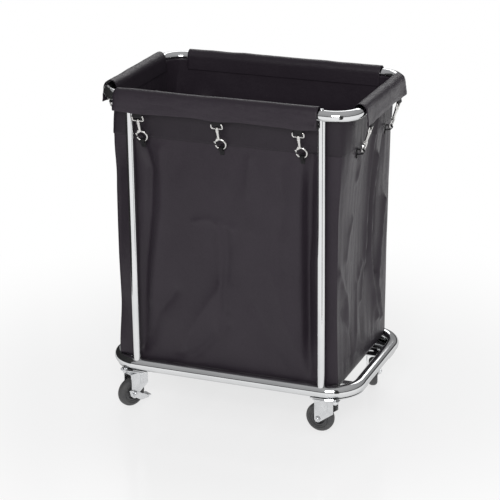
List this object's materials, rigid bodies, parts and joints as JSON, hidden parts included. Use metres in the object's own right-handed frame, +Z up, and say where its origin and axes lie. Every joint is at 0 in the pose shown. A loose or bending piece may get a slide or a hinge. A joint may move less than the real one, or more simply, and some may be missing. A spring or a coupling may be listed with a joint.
{
  "type": "laundry cart",
  "caption": "Rectangular laundry cart: a bright tube frame on swivel castors, with a deep black cloth bag folded over the top rail and held by snap hooks.",
  "frame": {"origin": "centre of the cart's footprint, on the floor", "axes": "+X along the cart's length, -Y to its front, +Z up"},
  "size_m": [0.688, 0.4551, 0.8494],
  "materials": {
    "chrome_tube": "bright chrome plate",
    "zinc_steel": "bright zinc plated pressed steel",
    "nickel": "nickel plated die casting",
    "wheel_plastic": "moulded",
    "tyre_rubber": "matt grey-black rubber",
    "bag_cloth": "coated plain-weave cloth, faint sheen",
    "webbing": "ribbed webbing"
  },
  "bodies": {
    "root": {"top_rail": "chrome_tube", "base_rail": "chrome_tube", "uprights": "chrome_tube", "upright_plugs": "zinc_steel", "upright_screws": "chrome_tube", "cross_bars": "chrome_tube", "castor_mount_plates": "chrome_tube", "castor_studs": "zinc_steel", "castor_nuts": "zinc_steel", "castor_top_plates": "zinc_steel", "castor_kingpins": "zinc_steel", "castor_race_cups": "zinc_steel", "castor_race_balls": "chrome_tube", "bag_walls": "bag_cloth", "bag_floor": "bag_cloth", "bag_top_band": "bag_cloth", "bag_flaps_long": "bag_cloth", "bag_flaps_short": "bag_cloth", "bag_flap_tabs": "webbing", "bag_loops": "webbing", "hook_eyes": "nickel"},
    "swivel_fl": {"fork_fl": "zinc_steel", "axle_fl": "zinc_steel"},
    "wheel_fl": {"wheel_core_fl": "wheel_plastic", "tyre_fl": "tyre_rubber"},
    "pedal_fl": {"brake_pedal_fl": "zinc_steel"},
    "swivel_fr": {"fork_fr": "zinc_steel", "axle_fr": "zinc_steel"},
    "wheel_fr": {"wheel_core_fr": "wheel_plastic", "tyre_fr": "tyre_rubber"},
    "swivel_rl": {"fork_rl": "zinc_steel", "axle_rl": "zinc_steel"},
    "wheel_rl": {"wheel_core_rl": "wheel_plastic", "tyre_rl": "tyre_rubber"},
    "pedal_rl": {"brake_pedal_rl": "zinc_steel"},
    "swivel_rr": {"fork_rr": "zinc_steel", "axle_rr": "zinc_steel"},
    "wheel_rr": {"wheel_core_rr": "wheel_plastic", "tyre_rr": "tyre_rubber"},
    "claw_f1": {"hook_claw_f1": "nickel"},
    "gate_f1": {"hook_gate_f1": "nickel"},
    "claw_f2": {"hook_claw_f2": "nickel"},
    "gate_f2": {"hook_gate_f2": "nickel"},
    "claw_f3": {"hook_claw_f3": "nickel"},
    "gate_f3": {"hook_gate_f3": "nickel"},
    "claw_r1": {"hook_claw_r1": "nickel"},
    "gate_r1": {"hook_gate_r1": "nickel"},
    "claw_r2": {"hook_claw_r2": "nickel"},
    "gate_r2": {"hook_gate_r2": "nickel"},
    "claw_r3": {"hook_claw_r3": "nickel"},
    "gate_r3": {"hook_gate_r3": "nickel"},
    "claw_e1": {"hook_claw_e1": "nickel"},
    "gate_e1": {"hook_gate_e1": "nickel"},
    "claw_e2": {"hook_claw_e2": "nickel"},
    "gate_e2": {"hook_gate_e2": "nickel"},
    "claw_w1": {"hook_claw_w1": "nickel"},
    "gate_w1": {"hook_gate_w1": "nickel"},
    "claw_w2": {"hook_claw_w2": "nickel"},
    "gate_w2": {"hook_gate_w2": "nickel"}
  },
  "joints": [
    {"name": "swivel_fl", "type": "hinge", "parent": "root", "child": "swivel_fl", "pos_m": [-0.262, -0.171, 0.092], "axis": [0, 0, 1], "continuous": true},
    {"name": "roll_fl", "type": "hinge", "parent": "swivel_fl", "child": "wheel_fl", "pos_m": [-0.276, -0.19525, 0.0375], "axis": [-0.866, 0.5, 0], "continuous": true},
    {"name": "brake_fl", "type": "hinge", "parent": "swivel_fl", "child": "pedal_fl", "pos_m": [-0.276, -0.19525, 0.0375], "axis": [-0.866, 0.5, 0], "range_deg": [0, 14]},
    {"name": "swivel_fr", "type": "hinge", "parent": "root", "child": "swivel_fr", "pos_m": [0.262, -0.171, 0.092], "axis": [0, 0, 1], "continuous": true},
    {"name": "roll_fr", "type": "hinge", "parent": "swivel_fr", "child": "wheel_fr", "pos_m": [0.23415, -0.16807, 0.0375], "axis": [0.1045, 0.9945, 0], "continuous": true},
    {"name": "swivel_rl", "type": "hinge", "parent": "root", "child": "swivel_rl", "pos_m": [-0.262, 0.171, 0.092], "axis": [0, 0, 1], "continuous": true},
    {"name": "roll_rl", "type": "hinge", "parent": "swivel_rl", "child": "wheel_rl", "pos_m": [-0.26925, 0.14395, 0.0375], "axis": [-0.9659, 0.2588, 0], "continuous": true},
    {"name": "brake_rl", "type": "hinge", "parent": "swivel_rl", "child": "pedal_rl", "pos_m": [-0.26925, 0.14395, 0.0375], "axis": [-0.9659, 0.2588, 0], "range_deg": [0, 14]},
    {"name": "swivel_rr", "type": "hinge", "parent": "root", "child": "swivel_rr", "pos_m": [0.262, 0.171, 0.092], "axis": [0, 0, 1], "continuous": true},
    {"name": "roll_rr", "type": "hinge", "parent": "swivel_rr", "child": "wheel_rr", "pos_m": [0.27065, 0.14437, 0.0375], "axis": [-0.9511, -0.309, 0], "continuous": true},
    {"name": "claw_turn_f1", "type": "hinge", "parent": "root", "child": "claw_f1", "pos_m": [-0.221, -0.21759, 0.77765], "axis": [0, -0.3256, 0.9455], "range_deg": [-10, 10]},
    {"name": "gate_press_f1", "type": "hinge", "parent": "claw_f1", "child": "gate_f1", "pos_m": [-0.2264, -0.20662, 0.74579], "axis": [0, -0.9455, -0.3256], "range_deg": [0, 25], "stiffness_Nm_per_rad": 0.003, "springref_deg": -17.19},
    {"name": "claw_turn_f2", "type": "hinge", "parent": "root", "child": "claw_f2", "pos_m": [-0.013, -0.21759, 0.77765], "axis": [0, -0.3256, 0.9455], "range_deg": [-10, 10]},
    {"name": "gate_press_f2", "type": "hinge", "parent": "claw_f2", "child": "gate_f2", "pos_m": [-0.0184, -0.20662, 0.74579], "axis": [0, -0.9455, -0.3256], "range_deg": [0, 25], "stiffness_Nm_per_rad": 0.003, "springref_deg": -17.19},
    {"name": "claw_turn_f3", "type": "hinge", "parent": "root", "child": "claw_f3", "pos_m": [0.195, -0.21759, 0.77765], "axis": [0, -0.3256, 0.9455], "range_deg": [-10, 10]},
    {"name": "gate_press_f3", "type": "hinge", "parent": "claw_f3", "child": "gate_f3", "pos_m": [0.1896, -0.20662, 0.74579], "axis": [0, -0.9455, -0.3256], "range_deg": [0, 25], "stiffness_Nm_per_rad": 0.003, "springref_deg": -17.19},
    {"name": "claw_turn_r1", "type": "hinge", "parent": "root", "child": "claw_r1", "pos_m": [0.208, 0.21759, 0.77765], "axis": [0, 0.3256, 0.9455], "range_deg": [-10, 10]},
    {"name": "gate_press_r1", "type": "hinge", "parent": "claw_r1", "child": "gate_r1", "pos_m": [0.2134, 0.20662, 0.74579], "axis": [0, 0.9455, -0.3256], "range_deg": [0, 25], "stiffness_Nm_per_rad": 0.003, "springref_deg": -17.19},
    {"name": "claw_turn_r2", "type": "hinge", "parent": "root", "child": "claw_r2", "pos_m": [0, 0.21759, 0.77765], "axis": [0, 0.3256, 0.9455], "range_deg": [-10, 10]},
    {"name": "gate_press_r2", "type": "hinge", "parent": "claw_r2", "child": "gate_r2", "pos_m": [0.0054, 0.20662, 0.74579], "axis": [0, 0.9455, -0.3256], "range_deg": [0, 25], "stiffness_Nm_per_rad": 0.003, "springref_deg": -17.19},
    {"name": "claw_turn_r3", "type": "hinge", "parent": "root", "child": "claw_r3", "pos_m": [-0.208, 0.21759, 0.77765], "axis": [0, 0.3256, 0.9455], "range_deg": [-10, 10]},
    {"name": "gate_press_r3", "type": "hinge", "parent": "claw_r3", "child": "gate_r3", "pos_m": [-0.2026, 0.20662, 0.74579], "axis": [0, 0.9455, -0.3256], "range_deg": [0, 25], "stiffness_Nm_per_rad": 0.003, "springref_deg": -17.19},
    {"name": "claw_turn_e1", "type": "hinge", "parent": "root", "child": "claw_e1", "pos_m": [0.33659, -0.11, 0.77765], "axis": [0.3256, 0, 0.9455], "range_deg": [-10, 10]},
    {"name": "gate_press_e1", "type": "hinge", "parent": "claw_e1", "child": "gate_e1", "pos_m": [0.32562, -0.1154, 0.74579], "axis": [0.9455, 0, -0.3256], "range_deg": [0, 25], "stiffness_Nm_per_rad": 0.003, "springref_deg": -17.19},
    {"name": "claw_turn_e2", "type": "hinge", "parent": "root", "child": "claw_e2", "pos_m": [0.33659, 0.11, 0.77765], "axis": [0.3256, 0, 0.9455], "range_deg": [-10, 10]},
    {"name": "gate_press_e2", "type": "hinge", "parent": "claw_e2", "child": "gate_e2", "pos_m": [0.32562, 0.1046, 0.74579], "axis": [0.9455, 0, -0.3256], "range_deg": [0, 25], "stiffness_Nm_per_rad": 0.003, "springref_deg": -17.19},
    {"name": "claw_turn_w1", "type": "hinge", "parent": "root", "child": "claw_w1", "pos_m": [-0.33659, 0.11, 0.77765], "axis": [-0.3256, 0, 0.9455], "range_deg": [-10, 10]},
    {"name": "gate_press_w1", "type": "hinge", "parent": "claw_w1", "child": "gate_w1", "pos_m": [-0.32562, 0.1154, 0.74579], "axis": [-0.9455, 0, -0.3256], "range_deg": [0, 25], "stiffness_Nm_per_rad": 0.003, "springref_deg": -17.19},
    {"name": "claw_turn_w2", "type": "hinge", "parent": "root", "child": "claw_w2", "pos_m": [-0.33659, -0.11, 0.77765], "axis": [-0.3256, 0, 0.9455], "range_deg": [-10, 10]},
    {"name": "gate_press_w2", "type": "hinge", "parent": "claw_w2", "child": "gate_w2", "pos_m": [-0.32562, -0.1046, 0.74579], "axis": [-0.9455, 0, -0.3256], "range_deg": [0, 25], "stiffness_Nm_per_rad": 0.003, "springref_deg": -17.19}
  ]
}
